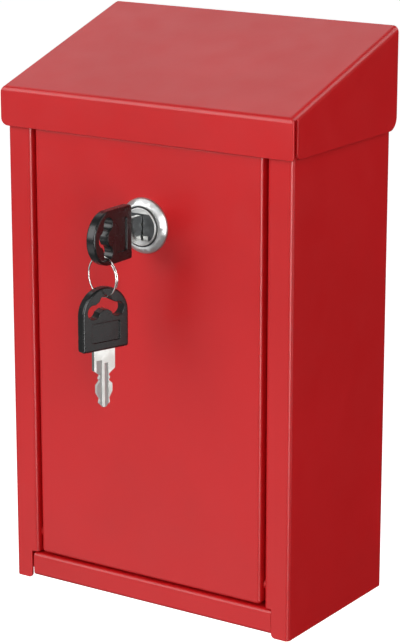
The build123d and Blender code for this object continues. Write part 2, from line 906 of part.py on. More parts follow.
def main():
    """Build every piece and write it out."""
    os.makedirs("parts", exist_ok=True)
    for name, shape in make_all().items():
        export_step(shape, f"parts/{name}.step")
    print("hood hinge at", round(pin_y, 3), round(pin_z, 3))
    print("door pivot at", round(pivot_y, 3), round(pivot_z, 3))
    print("lock axis at", lock_x, round(lock_z, 3))
    print("ring hangs at", ring_top(), "spare key hangs at", ring_bottom())


if __name__ == "__main__":
    main()
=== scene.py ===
"""Looks of the wall-mounted donation box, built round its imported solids.

Lengths are in metres, in the part's own frame: +X to the right, -Y towards the person, +Z up.
The origin is the middle of the four wall holes, on the wall.
"""

import logging
import math
from collections.abc import Sequence
from dataclasses import dataclass
from enum import Enum
from typing import Any

import bmesh
import bpy
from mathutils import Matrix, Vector


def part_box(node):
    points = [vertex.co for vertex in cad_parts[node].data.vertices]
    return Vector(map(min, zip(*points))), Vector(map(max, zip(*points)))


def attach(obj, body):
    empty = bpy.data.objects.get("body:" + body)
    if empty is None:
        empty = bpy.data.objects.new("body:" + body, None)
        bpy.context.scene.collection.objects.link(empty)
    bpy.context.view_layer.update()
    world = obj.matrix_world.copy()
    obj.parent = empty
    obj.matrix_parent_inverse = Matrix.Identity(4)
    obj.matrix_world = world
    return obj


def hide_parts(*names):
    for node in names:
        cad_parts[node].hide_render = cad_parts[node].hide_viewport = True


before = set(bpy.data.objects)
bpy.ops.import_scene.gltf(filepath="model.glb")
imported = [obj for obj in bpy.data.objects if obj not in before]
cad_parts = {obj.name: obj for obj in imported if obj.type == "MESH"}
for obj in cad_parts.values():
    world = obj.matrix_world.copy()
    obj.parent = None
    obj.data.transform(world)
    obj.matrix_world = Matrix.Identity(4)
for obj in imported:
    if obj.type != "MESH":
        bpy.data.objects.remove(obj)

log = logging.getLogger("donation_box")

MM = 0.001
# Face attribute that marks a blade's groove faces, where the nickel finish paints shade
GROOVE = "groove"
WHITE = "#FFFFFF"

# Values of a noise texture between which a patch goes from one look to the other
COLOUR_FROM, COLOUR_TO = 0.35, 0.65
GLOSS_FROM, GLOSS_TO = 0.3, 0.7

# Sharpest turn between two faces of a small detail that is still shaded as round
ROUND_TURN = math.radians(40)

# Sockets of a Mix node that mixes colours, which share their names with its other kinds
MIX_A = 6
MIX_B = 7
MIX_COLOUR = 2


class Body(Enum):
    """The bodies that pieces ride on."""

    BOX = "box"
    HOOD = "hood"
    DOOR = "door"
    LOCK_CORE = "lock_core"
    KEY = "key"
    RING = "ring"
    SPARE_KEY = "spare_key"


class Slot(Enum):
    """The record's material slots."""

    RED_PAINT = "red_paint"
    ZINC = "zinc"
    BRUSHED_BEZEL = "brushed_bezel"
    PLUG_CHROME = "plug_chrome"
    DARK_ZINC = "dark_zinc"
    BRASS_WAFER = "brass_wafer"
    KEY_STEEL = "key_steel"
    BLACK_PLASTIC = "black_plastic"


def linear(code: str) -> tuple[float, float, float, float]:
    """Turns an sRGB hex colour into linear light.

    Args:
        code: Six hex digits after a hash.

    Returns:
        Red, green, blue and an alpha of one.
    """
    values = [int(code[i : i + 2], 16) / 255 for i in (1, 3, 5)]
    light = [v / 12.92 if v <= 0.04045 else ((v + 0.055) / 1.055) ** 2.4 for v in values]
    return light[0], light[1], light[2], 1.0


def add_node(
    tree: bpy.types.NodeTree,
    kind: str,
    inputs: dict[str | int, Any] | None = None,
    settings: dict[str, Any] | None = None,
) -> bpy.types.Node:
    """Adds a node with its settings and links.

    Args:
        tree: The tree that gets the node.
        kind: The node's type name.
        inputs: A value, or an output socket to link from, for each input by name or place.
        settings: Properties of the node itself, set before its inputs.

    Returns:
        The new node.
    """
    node = tree.nodes.new(kind)
    for name, value in (settings or {}).items():
        setattr(node, name, value)
    for key, value in (inputs or {}).items():
        if isinstance(value, bpy.types.NodeSocket):
            tree.links.new(value, node.inputs[key])
        else:
            node.inputs[key].default_value = value
    return node


@dataclass(frozen=True)
class Finish:
    """What every finish has: a name, a colour, and how it throws light back."""

    name: str
    colour: str
    roughness: float
    metallic: float = 0.0

    def start(self) -> tuple[bpy.types.Material, bpy.types.NodeTree, bpy.types.Node, bpy.types.NodeSocket]:
        """Makes the material with its shader.

        Returns:
            The material, its tree, its Principled shader and the place on the object in metres.
        """
        material = bpy.data.materials.new(self.name)
        material.use_nodes = True
        material.diffuse_color = linear(self.colour)
        tree = material.node_tree
        tree.nodes.clear()
        shader = add_node(
            tree,
            "ShaderNodeBsdfPrincipled",
            {"Base Color": linear(self.colour), "Metallic": self.metallic, "Roughness": self.roughness},
        )
        add_node(tree, "ShaderNodeOutputMaterial", {"Surface": shader.outputs["BSDF"]})
        place = add_node(tree, "ShaderNodeTexCoord").outputs["Object"]
        return material, tree, shader, place

    def build(self) -> bpy.types.Material:
        """Makes the material; each finish has its own."""
        raise NotImplementedError

    def vary(
        self, tree: bpy.types.NodeTree, place: bpy.types.NodeSocket, other: str, size: float, detail: float
    ) -> bpy.types.NodeSocket:
        """Blends the finish's colour with another in soft patches.

        Args:
            tree: The material's tree.
            place: The place on the object.
            other: The second colour.
            size: Width of a patch.
            detail: How broken up a patch's edge is.

        Returns:
            The blended colour.
        """
        patches = add_node(tree, "ShaderNodeTexNoise", {"Vector": place, "Scale": 1 / size, "Detail": detail})
        share = add_node(
            tree,
            "ShaderNodeMapRange",
            {"Value": patches.outputs[0], "From Min": COLOUR_FROM, "From Max": COLOUR_TO},
            {"interpolation_type": "SMOOTHSTEP"},
        )
        blend = add_node(
            tree,
            "ShaderNodeMix",
            {"Factor": share.outputs["Result"], MIX_A: linear(self.colour), MIX_B: linear(other)},
            {"data_type": "RGBA"},
        )
        return blend.outputs[MIX_COLOUR]

    def relief(
        self,
        tree: bpy.types.NodeTree,
        place: bpy.types.NodeSocket,
        size: float,
        height: float,
        below: bpy.types.NodeSocket | None = None,
    ) -> bpy.types.NodeSocket:
        """Raises an even, fine grain on the surface.

        Args:
            tree: The material's tree.
            place: The place on the object.
            size: Width of one grain.
            height: Height of one grain.
            below: A relief that this one lies on.

        Returns:
            The new surface direction.
        """
        grain = add_node(tree, "ShaderNodeTexNoise", {"Vector": place, "Scale": 1 / size, "Detail": 1.0})
        inputs = {"Height": grain.outputs[0], "Distance": height, "Strength": 1.0}
        if below is not None:
            inputs["Normal"] = below
        return add_node(tree, "ShaderNodeBump", inputs).outputs["Normal"]

    def rough_patches(
        self, tree: bpy.types.NodeTree, place: bpy.types.NodeSocket, size: float, spread: float
    ) -> bpy.types.NodeSocket:
        """Lets the gloss wander round the finish's own roughness.

        Args:
            tree: The material's tree.
            place: The place on the object.
            size: Width of a patch.
            spread: Most that the roughness differs, either way.

        Returns:
            The roughness.
        """
        patches = add_node(tree, "ShaderNodeTexNoise", {"Vector": place, "Scale": 1 / size, "Detail": 3.0})
        limits = {
            "Value": patches.outputs[0],
            "From Min": GLOSS_FROM,
            "From Max": GLOSS_TO,
            "To Min": self.roughness - spread,
            "To Max": self.roughness + spread,
        }
        return add_node(tree, "ShaderNodeMapRange", limits).outputs["Result"]


@dataclass(frozen=True)
class PowderCoat(Finish):
    """Polyester powder coat, baked on steel sheet.

    The melted powder leaves a satin skin with a low orange peel about a millimetre across and a finer grit,
    and the red is a shade deeper where the coat lies thicker.
    """

    deeper: str = "#C31317"
    peel_size: float = 1.6 * MM
    peel_height: float = 0.012 * MM
    grit_size: float = 0.7 * MM
    grit_height: float = 0.008 * MM
    patch_size: float = 60 * MM
    gloss_size: float = 12 * MM
    gloss_spread: float = 0.03

    def build(self) -> bpy.types.Material:
        """Makes the satin red coat."""
        material, tree, shader, place = self.start()
        tree.links.new(self.vary(tree, place, self.deeper, self.patch_size, detail=2.0), shader.inputs["Base Color"])
        tree.links.new(self.rough_patches(tree, place, self.gloss_size, self.gloss_spread), shader.inputs["Roughness"])
        peel = self.relief(tree, place, self.peel_size, self.peel_height)
        grit = self.relief(tree, place, self.grit_size, self.grit_height, peel)
        tree.links.new(grit, shader.inputs["Normal"])
        return material


@dataclass(frozen=True)
class ZincPlate(Finish):
    """Bright zinc plating on steel, clear passivated.

    It is cool and silvery with faint clouds, and shows the rolling lines of the strip under it.
    """

    cloud: str = "#C2C6C9"
    cloud_size: float = 9 * MM
    gloss_size: float = 8 * MM
    gloss_spread: float = 0.03
    line_size: float = 0.35 * MM
    line_length: float = 12 * MM
    line_height: float = 0.0012 * MM

    def build(self) -> bpy.types.Material:
        """Makes the cloudy silver plating."""
        material, tree, shader, place = self.start()
        tree.links.new(self.vary(tree, place, self.cloud, self.cloud_size, detail=2.0), shader.inputs["Base Color"])
        tree.links.new(self.rough_patches(tree, place, self.gloss_size, self.gloss_spread), shader.inputs["Roughness"])
        drawn_out = (1 / self.line_length, 1 / self.line_size, 1 / self.line_size)
        along = add_node(tree, "ShaderNodeMapping", {"Vector": place, "Scale": drawn_out})
        lines = add_node(tree, "ShaderNodeTexNoise", {"Vector": along.outputs[0], "Scale": 1.0, "Detail": 2.0})
        bump = add_node(
            tree, "ShaderNodeBump", {"Height": lines.outputs[0], "Distance": self.line_height, "Strength": 1.0}
        )
        tree.links.new(bump.outputs["Normal"], shader.inputs["Normal"])
        return material


@dataclass(frozen=True)
class TurnedMetal(Finish):
    """Metal brushed on a lathe, such as a stainless trim ring.

    The fine rings round the axis stretch each reflection across them, so light and dark lie in fans.
    """

    axis: tuple[float, float, float] = (0.0, 0.0, 0.0)
    shade: str = "#B9BABA"
    ring_pitch: float = 0.22 * MM
    ring_height: float = 0.0012 * MM
    stretch: float = 0.75
    patch_size: float = 4 * MM
    patch_spread: float = 0.015

    def build(self) -> bpy.types.Material:
        """Makes the ring-brushed metal."""
        material, tree, shader, place = self.start()
        centred = add_node(
            tree, "ShaderNodeMapping", {"Vector": place, "Location": tuple(-value for value in self.axis)}
        )
        across = add_node(
            tree,
            "ShaderNodeVectorMath",
            {0: centred.outputs[0], 1: (1.0, 0.0, 1.0)},
            {"operation": "MULTIPLY"},
        )
        radius = add_node(tree, "ShaderNodeVectorMath", {0: across.outputs[0]}, {"operation": "LENGTH"})
        rings = add_node(
            tree,
            "ShaderNodeTexNoise",
            {"W": radius.outputs["Value"], "Scale": 1 / self.ring_pitch, "Detail": 2.0},
            {"noise_dimensions": "1D"},
        )
        blend = add_node(
            tree,
            "ShaderNodeMix",
            {"Factor": rings.outputs[0], MIX_A: linear(self.colour), MIX_B: linear(self.shade)},
            {"data_type": "RGBA"},
        )
        tree.links.new(blend.outputs[MIX_COLOUR], shader.inputs["Base Color"])
        tree.links.new(self.rough_patches(tree, place, self.patch_size, self.patch_spread), shader.inputs["Roughness"])
        bump = add_node(
            tree, "ShaderNodeBump", {"Height": rings.outputs[0], "Distance": self.ring_height, "Strength": 1.0}
        )
        tree.links.new(bump.outputs["Normal"], shader.inputs["Normal"])
        tangent = add_node(
            tree,
            "ShaderNodeVectorTransform",
            {"Vector": across.outputs[0]},
            {"vector_type": "VECTOR", "convert_from": "OBJECT", "convert_to": "WORLD"},
        )
        shader.inputs["Anisotropic"].default_value = self.stretch
        tree.links.new(tangent.outputs[0], shader.inputs["Tangent"])
        return material


@dataclass(frozen=True)
class CastZinc(Finish):
    """Zinc die casting with a dark wash.

    It is grey-black and half matt, with a fine grain from the mould and paler rubbed spots.
    """

    rubbed: str = "#515355"
    rubbed_size: float = 1.8 * MM
    patch_size: float = 1 * MM
    patch_spread: float = 0.05
    grain_size: float = 0.4 * MM
    grain_height: float = 0.004 * MM

    def build(self) -> bpy.types.Material:
        """Makes the dark, grainy casting."""
        material, tree, shader, place = self.start()
        tree.links.new(self.vary(tree, place, self.rubbed, self.rubbed_size, detail=3.0), shader.inputs["Base Color"])
        tree.links.new(self.rough_patches(tree, place, self.patch_size, self.patch_spread), shader.inputs["Roughness"])
        grain = self.relief(tree, place, self.grain_size, self.grain_height)
        tree.links.new(grain, shader.inputs["Normal"])
        return material


@dataclass(frozen=True)
class StampedBrass(Finish):
    """Rolled brass strip, stamped into wafers.

    It is a warm yellow, slightly tarnished in small clouds, with the fine lines of the roll.
    """

    tarnish: str = "#9C7434"
    cloud_size: float = 1.5 * MM
    gloss_size: float = 1 * MM
    gloss_spread: float = 0.08
    line_size: float = 0.3 * MM
    line_height: float = 0.004 * MM

    def build(self) -> bpy.types.Material:
        """Makes the slightly tarnished brass."""
        material, tree, shader, place = self.start()
        tree.links.new(self.vary(tree, place, self.tarnish, self.cloud_size, detail=3.0), shader.inputs["Base Color"])
        tree.links.new(self.rough_patches(tree, place, self.gloss_size, self.gloss_spread), shader.inputs["Roughness"])
        tree.links.new(self.relief(tree, place, self.line_size, self.line_height), shader.inputs["Normal"])
        return material


@dataclass(frozen=True)
class BrightNickel(Finish):
    """Bright nickel plating on a stamped key or a wire ring.

    It is a warm mirror, dulled by hair scratches in every direction and a little wear. On the spare blade the
    groove faces are painted a flat, rougher grey that is not metallic: painted shade for the shade in the grooves.
    """

    worn: str = "#CBCBC7"
    # Painted shade: this grey and the roughness below stand in for the shade that falls in the spare blade's grooves
    film: str = "#B4B4B2"
    groove_shade_roughness: float = 0.5
    patch_size: float = 6 * MM
    patch_spread: float = 0.02
    scratch_size: float = 0.25 * MM
    scratch_length: float = 5 * MM
    scratch_height: float = 0.002 * MM
    scratch_turns: tuple[float, float] = (12.0, -31.0)

    def build(self) -> bpy.types.Material:
        """Makes the scratched bright plating."""
        material, tree, shader, place = self.start()
        groove = add_node(tree, "ShaderNodeAttribute", settings={"attribute_name": GROOVE}).outputs["Fac"]
        plating = self.vary(tree, place, self.worn, self.patch_size, detail=2.0)
        # Painted shade: groove faces get a flat grey, rougher and not metallic, where shade falls in the grooves
        groove_shaded = add_node(
            tree,
            "ShaderNodeMix",
            {"Factor": groove, MIX_A: plating, MIX_B: linear(self.film)},
            {"data_type": "RGBA"},
        )
        tree.links.new(groove_shaded.outputs[MIX_COLOUR], shader.inputs["Base Color"])
        gloss = self.rough_patches(tree, place, self.patch_size, self.patch_spread)
        for name, bare, shaded_value in (("Roughness", gloss, self.groove_shade_roughness), ("Metallic", self.metallic, 0.0)):
            share = add_node(tree, "ShaderNodeMix", {"Factor": groove, "A": bare, "B": shaded_value})
            tree.links.new(share.outputs["Result"], shader.inputs[name])
        below = None
        for turn in self.scratch_turns:
            turned = add_node(
                tree,
                "ShaderNodeMapping",
                {
                    "Vector": place,
                    "Rotation": (math.radians(turn), math.radians(turn / 2), 0.0),
                    "Scale": (1 / self.scratch_size, 1 / self.scratch_size, 1 / self.scratch_length),
                },
            )
            lines = add_node(tree, "ShaderNodeTexNoise", {"Vector": turned.outputs[0], "Scale": 1.0, "Detail": 1.0})
            inputs = {"Height": lines.outputs[0], "Distance": self.scratch_height, "Strength": 1.0}
            if below is not None:
                inputs["Normal"] = below
            below = add_node(tree, "ShaderNodeBump", inputs).outputs["Normal"]
        tree.links.new(below, shader.inputs["Normal"])
        return material


@dataclass(frozen=True)
class MouldedAbs(Finish):
    """Black ABS, injection moulded over the key's tang.

    It is a soft black with a fine spark-eroded grain from the mould, polished a little where fingers hold it.
    """

    greyer: str = "#121314"
    patch_size: float = 6 * MM
    gloss_size: float = 6 * MM
    gloss_spread: float = 0.02
    grain_size: float = 0.3 * MM
    grain_height: float = 0.0015 * MM

    def build(self) -> bpy.types.Material:
        """Makes the fine-grained black plastic."""
        material, tree, shader, place = self.start()
        tree.links.new(self.vary(tree, place, self.greyer, self.patch_size, detail=2.0), shader.inputs["Base Color"])
        tree.links.new(self.rough_patches(tree, place, self.gloss_size, self.gloss_spread), shader.inputs["Roughness"])
        grain = self.relief(tree, place, self.grain_size, self.grain_height)
        tree.links.new(grain, shader.inputs["Normal"])
        return material


def node_middle(name: str) -> Vector:
    """Returns the middle of a node's box at rest."""
    low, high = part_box(name)
    return (low + high) / 2


def lock_axis() -> tuple[float, float, float]:
    """Returns a point on the lock's axis, level with the bezel."""
    middle = node_middle("lock_bezel")
    return middle.x, middle.y, middle.z


FINISHES: dict[Slot, Finish] = {
    Slot.RED_PAINT: PowderCoat("red powder coat", "#C81419", 0.34),
    Slot.ZINC: ZincPlate("bright zinc plating", "#D2D5D7", 0.36, 1.0),
    Slot.BRUSHED_BEZEL: TurnedMetal("lathe-brushed stainless", "#DADBDA", 0.37, 1.0, lock_axis(), stretch=0.55),
    Slot.PLUG_CHROME: TurnedMetal("satin chrome", "#D6D6D4", 0.42, 1.0, lock_axis(), stretch=0.25),
    Slot.DARK_ZINC: CastZinc("dark cast zinc", "#484A4C", 0.45, 1.0),
    Slot.BRASS_WAFER: StampedBrass("stamped brass", "#D9B25C", 0.35, 1.0),
    Slot.KEY_STEEL: BrightNickel("bright nickel plating", "#D6D6D3", 0.18, 1.0),
    Slot.BLACK_PLASTIC: MouldedAbs("black moulded ABS", "#0F1011", 0.27),
}


class Paintshop:
    """Makes each finish once and hands it out by the record's slot."""

    def __init__(self) -> None:
        """Starts with nothing made."""
        self.made: dict[Slot, bpy.types.Material] = {}

    def material(self, slot: Slot) -> bpy.types.Material:
        """Returns the material of a slot, made when first asked for."""
        if slot not in self.made:
            self.made[slot] = FINISHES[slot].build()
        return self.made[slot]


@dataclass
class EdgeRounding:
    """How the sharp edges of a node are broken, as tumbling, plating or a coat of powder leaves them."""

    radius: float
    segments: int = 2
    merge: float = 0.001 * MM
    flat_angle: float = math.radians(0.5)
    sharp_angle: float = math.radians(38)

    def apply(self, mesh: bpy.types.Mesh) -> None:
        """Merges a node's loose triangles, joins the level ones and rounds every sharp edge.

        Args:
            mesh: A copy of the node's mesh, which is changed.
        """
        work = bmesh.new()
        work.from_mesh(mesh)
        bmesh.ops.remove_doubles(work, verts=work.verts, dist=self.merge)
        bmesh.ops.dissolve_limit(
            work, angle_limit=self.flat_angle, verts=work.verts, edges=work.edges, use_dissolve_boundaries=False
        )
        sharp = [
            edge
            for edge in work.edges
            if len(edge.link_faces) == 2 and edge.calc_face_angle(0.0) > self.sharp_angle
        ]
        if self.radius > 0:
            bmesh.ops.bevel(
                work,
                geom=sharp,
                offset=self.radius,
                offset_type="OFFSET",
                segments=self.segments,
                profile=0.5,
                affect="EDGES",
                clamp_overlap=False,
            )
        for face in work.faces:
            face.smooth = True
        work.to_mesh(mesh)
        work.free()


def settle(piece: bpy.types.Object) -> bpy.types.Object:
    """Turns a piece with modifiers into a plain mesh without them.

    Args:
        piece: The piece, at the origin.

    Returns:
        The same object with its finished mesh.
    """
    graph = bpy.context.evaluated_depsgraph_get()
    finished = bpy.data.meshes.new_from_object(piece.evaluated_get(graph), depsgraph=graph)
    piece.modifiers.clear()
    piece.data = finished
    return piece


def finished_copy(name: str, rounding: EdgeRounding, shop: Paintshop, slot: Slot, body: Body) -> bpy.types.Object:
    """Puts a copy with rounded edges in place of a node.

    Args:
        name: The node.
        rounding: How its sharp edges are broken.
        shop: Where its material comes from.
        slot: The record's slot for its finish.
        body: The body that it rides on.

    Returns:
        The new piece.
    """
    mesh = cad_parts[name].data.copy()
    rounding.apply(mesh)
    piece = bpy.data.objects.new(f"{name}.finished", mesh)
    bpy.context.scene.collection.objects.link(piece)
    mesh.set_sharp_from_angle(angle=rounding.sharp_angle)
    weighted = piece.modifiers.new("even_normals", "WEIGHTED_NORMAL")
    weighted.keep_sharp = True
    settle(piece)
    piece.data.materials.clear()
    piece.data.materials.append(shop.material(slot))
    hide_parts(name)
    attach(piece, body.value)
    log.info("%s stands for %s with %d faces", piece.name, name, len(piece.data.polygons))
    return piece


@dataclass
class GeometryTree:
    """A tree of geometry nodes with named inputs, run once on an empty mesh."""

    name: str

    def __post_init__(self) -> None:
        """Makes the empty tree with its output."""
        self.tree = bpy.data.node_groups.new(self.name, "GeometryNodeTree")
        self.tree.interface.new_socket("Geometry", in_out="OUTPUT", socket_type="NodeSocketGeometry")
        self.values: dict[str, Any] = {}
        self.sizes = add_node(self.tree, "NodeGroupInput")

    def size(self, name: str, kind: str, value: Any) -> bpy.types.NodeSocket:
        """Adds a named input.

        Args:
            name: The input's name.
            kind: Its socket type.
            value: What the modifier sets it to.

        Returns:
            The socket that carries the value in the tree.
        """
        socket = self.tree.interface.new_socket(name, in_out="INPUT", socket_type=kind)
        self.values[socket.identifier] = value
        return self.sizes.outputs[name]

    def grow(self, piece_name: str, geometry: bpy.types.NodeSocket, material: bpy.types.Material) -> bpy.types.Object:
        """Realises the geometry, gives it a material and makes one plain mesh of it.

        Args:
            piece_name: The new piece's name.
            geometry: What the tree has made.
            material: The piece's material.

        Returns:
            The new piece, at the origin.
        """
        finish = self.size("Finish", "NodeSocketMaterial", material)
        real = add_node(self.tree, "GeometryNodeRealizeInstances", {"Geometry": geometry})
        dressed = add_node(
            self.tree, "GeometryNodeSetMaterial", {"Geometry": real.outputs["Geometry"], "Material": finish}
        )
        add_node(self.tree, "NodeGroupOutput", {"Geometry": dressed.outputs["Geometry"]})
        piece = bpy.data.objects.new(piece_name, bpy.data.meshes.new(piece_name))
        bpy.context.scene.collection.objects.link(piece)
        modifier = piece.modifiers.new(self.name, "NODES")
        modifier.node_group = self.tree
        for identifier, value in self.values.items():
            modifier[identifier] = value
        settle(piece)
        for polygon in piece.data.polygons:
            polygon.use_smooth = True
        piece.data.set_sharp_from_angle(angle=ROUND_TURN)
        return piece


@dataclass
class SpotWelds:
    """A row of spot welds: each a shallow dish with a raised rim, pressed by the electrode."""

    radius: float = 1.9 * MM
    rim: float = 0.28 * MM
    proud: float = 0.12 * MM
    steps: int = 28
    rim_steps: int = 8

    def build(
        self,
        name: str,
        first: Vector,
        step: Vector,
        count: int,
        outward: Vector,
        shop: Paintshop,
        slot: Slot,
        body: Body,
    ) -> bpy.types.Object:
        """Makes a row of weld marks.

        Args:
            name: The piece's name.
            first: Middle of the first mark, on the surface.
            step: From one mark to the next.
            count: How many marks.
            outward: The way that the surface faces.
            shop: Where the material comes from.
            slot: The record's slot for the finish.
            body: The body that the marks ride on.

        Returns:
            The row as one piece.
        """
        maker = GeometryTree(name)
        tree = maker.tree
        start = maker.size("First", "NodeSocketVector", tuple(first))
        pitch = maker.size("Step", "NodeSocketVector", tuple(step))
        number = maker.size("Count", "NodeSocketInt", count)
        turn = maker.size("Turn", "NodeSocketRotation", outward.to_track_quat("Z", "Y").to_euler())
        radius = maker.size("Radius", "NodeSocketFloat", self.radius)
        rim_radius = maker.size("Rim", "NodeSocketFloat", self.rim)
        flatten = maker.size("Flatten", "NodeSocketVector", (1.0, 1.0, self.proud / self.rim))
        line = add_node(
            tree,
            "GeometryNodeMeshLine",
            {"Count": number, "Start Location": start, "Offset": pitch},
        )
        path = add_node(tree, "GeometryNodeCurvePrimitiveCircle", {"Resolution": self.steps, "Radius": radius})
        section = add_node(
            tree, "GeometryNodeCurvePrimitiveCircle", {"Resolution": self.rim_steps, "Radius": rim_radius}
        )
        rim = add_node(
            tree,
            "GeometryNodeCurveToMesh",
            {"Curve": path.outputs["Curve"], "Profile Curve": section.outputs["Curve"]},
        )
        pressed = add_node(
            tree, "GeometryNodeTransform", {"Geometry": rim.outputs["Mesh"], "Scale": flatten}
        )
        marks = add_node(
            tree,
            "GeometryNodeInstanceOnPoints",
            {"Points": line.outputs["Mesh"], "Instance": pressed.outputs["Geometry"], "Rotation": turn},
        )
        piece = maker.grow(name, marks.outputs["Instances"], shop.material(slot))
        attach(piece, body.value)
        log.info("%s is a row of %d welds", name, count)
        return piece


@dataclass
class Cabinet:
    """The fixed box: shell, bottom pan, slot plate and the angle that the cam turns behind."""

    edge: float = 0.22 * MM
    sheet: float = 1.2 * MM
    weld_inset: float = 5 * MM
    welds_deep: int = 3
    weld_pitch: float = 26 * MM

    def build(self, shop: Paintshop) -> None:
        """Dresses the painted sheet pieces and marks the welds that join them."""
        rounding = EdgeRounding(self.edge)
        for name in ("body_shell", "bottom_pan", "slot_plate", "cam_strike"):
            finished_copy(name, rounding, shop, Slot.RED_PAINT, Body.BOX)
        self.weld_flanges(shop)

    def weld_flanges(self, shop: Paintshop) -> None:
        """Marks where the pan's and the plate's side flanges are welded to the box's sides."""
        welds = SpotWelds()
        pan_low, pan_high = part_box("bottom_pan")
        plate_low, plate_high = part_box("slot_plate")
        rows = {"pan": (pan_low, pan_high), "plate": (plate_low, plate_high)}
        for row, (low, high) in rows.items():
            level = (low.z + high.z) / 2 if row == "plate" else high.z - self.weld_inset
            middle = (low.y + high.y) / 2
            for side, label in ((-1, "left"), (1, "right")):
                half_row = self.weld_pitch * (self.welds_deep - 1) / 2
                first = Vector((side * (high.x - self.sheet), middle - half_row, level))
                step = Vector((0, self.weld_pitch, 0))
                outward = Vector((-side, 0, 0))
                name = f"{row}_welds_{label}"
                welds.build(name, first, step, self.welds_deep, outward, shop, Slot.RED_PAINT, Body.BOX)


@dataclass
class Hood:
    """The hinged lid and its continuous hinge."""

    edge: float = 0.22 * MM
    hinge_edge: float = 0.12 * MM
    weld_count: int = 5
    weld_radius: float = 1.7 * MM
    weld_height: float = 4.5 * MM
    leaf_foot: float = 1 * MM

    def build(self, shop: Paintshop) -> None:
        """Dresses the hood, both hinge leaves and the pin."""
        finished_copy("lid_hood", EdgeRounding(self.edge), shop, Slot.RED_PAINT, Body.HOOD)
        metal = EdgeRounding(self.hinge_edge)
        finished_copy("hinge_leaf_lid", metal, shop, Slot.ZINC, Body.HOOD)
        finished_copy("hinge_leaf_body", metal, shop, Slot.ZINC, Body.BOX)
        finished_copy("hinge_pin", metal, shop, Slot.ZINC, Body.BOX)
        self.weld_leaf(shop)

    def weld_leaf(self, shop: Paintshop) -> None:
        """Marks the welds that hold the fixed leaf on the box's back."""
        low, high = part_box("hinge_leaf_body")
        pitch = (high.x - low.x) / self.weld_count
        first = Vector((low.x + pitch / 2, self.face_of_leaf(), low.z + self.weld_height))
        SpotWelds(self.weld_radius).build(
            "hinge_welds",
            first,
            Vector((pitch, 0, 0)),
            self.weld_count,
            Vector((0, -1, 0)),
            shop,
            Slot.ZINC,
            Body.BOX,
        )

    def face_of_leaf(self) -> float:
        """Returns the depth of the fixed leaf's flat front face, read near its lower edge."""
        low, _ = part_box("hinge_leaf_body")
        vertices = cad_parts["hinge_leaf_body"].data.vertices
        return min(vertex.co.y for vertex in vertices if vertex.co.z < low.z + self.leaf_foot)


@dataclass
class Door:
    """The drop-down door and the two pins that it turns on."""

    edge: float = 0.22 * MM
    pin_edge: float = 0.15 * MM

    def build(self, shop: Paintshop) -> None:
        """Dresses the door pan and its pins."""
        finished_copy("door_panel", EdgeRounding(self.edge), shop, Slot.RED_PAINT, Body.DOOR)
        for side in ("left", "right"):
            finished_copy(f"door_pivot_{side}", EdgeRounding(self.pin_edge), shop, Slot.RED_PAINT, Body.BOX)


@dataclass
class BarrelThread:
    """The thread on the lock's barrel, cut away on the two flats."""

    pitch: float = 1.0 * MM
    ridge: float = 0.28 * MM
    barrel_radius: float = 9.4 * MM
    flat: float = 8.0 * MM
    steps: int = 26
    rib_steps: int = 4

    def build(self, shop: Paintshop) -> bpy.types.Object:
        """Winds the ridges along the barrel behind the nut, as arcs above and below the flats.

        Args:
            shop: Where the material comes from.

        Returns:
            The thread as one piece on the door.
        """
        _, nut_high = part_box("lock_nut")
        _, barrel_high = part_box("lock_housing")
        axis = lock_axis()
        room = barrel_high.y - nut_high.y - 2 * self.ridge
        turns = int(room / self.pitch)
        reach = math.acos(self.flat / self.barrel_radius)
        maker = GeometryTree("barrel_thread")
        tree = maker.tree
        radius = maker.size("Barrel Radius", "NodeSocketFloat", self.barrel_radius)
        start_angle = maker.size("Start Angle", "NodeSocketFloat", reach)
        sweep_angle = maker.size("Sweep Angle", "NodeSocketFloat", math.pi - 2 * reach)
        ridge = maker.size("Ridge", "NodeSocketFloat", self.ridge)
        count = maker.size("Turns", "NodeSocketInt", turns)
        first = maker.size("First", "NodeSocketVector", (axis[0], nut_high.y + 2 * self.ridge, axis[2]))
        step = maker.size("Step", "NodeSocketVector", (0.0, self.pitch, 0.0))
        lead = math.atan(self.pitch / (2 * math.pi * self.barrel_radius))
        upper = maker.size("Upper Turn", "NodeSocketRotation", Vector((math.pi / 2, 0.0, lead)))
        lower = maker.size("Lower Turn", "NodeSocketRotation", Vector((math.pi / 2, math.pi, -lead)))
        arc = add_node(
            tree,
            "GeometryNodeCurveArc",
            {
                "Resolution": self.steps,
                "Radius": radius,
                "Start Angle": start_angle,
                "Sweep Angle": sweep_angle,
            },
            {"mode": "RADIUS"},
        )
        section = add_node(tree, "GeometryNodeCurvePrimitiveCircle", {"Resolution": self.rib_steps, "Radius": ridge})
        rib = add_node(
            tree,
            "GeometryNodeCurveToMesh",
            {"Curve": arc.outputs["Curve"], "Profile Curve": section.outputs["Curve"], "Fill Caps": True},
        )
        line = add_node(tree, "GeometryNodeMeshLine", {"Count": count, "Start Location": first, "Offset": step})
        halves = add_node(tree, "GeometryNodeJoinGeometry")
        for turn in (upper, lower):
            row = add_node(
                tree,
                "GeometryNodeInstanceOnPoints",
                {"Points": line.outputs["Mesh"], "Instance": rib.outputs["Mesh"], "Rotation": turn},
            )
            tree.links.new(row.outputs["Instances"], halves.inputs["Geometry"])
        piece = maker.grow("barrel_thread", halves.outputs["Geometry"], shop.material(Slot.DARK_ZINC))
        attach(piece, Body.DOOR.value)
        log.info("barrel_thread has %d turns", turns)
        return piece


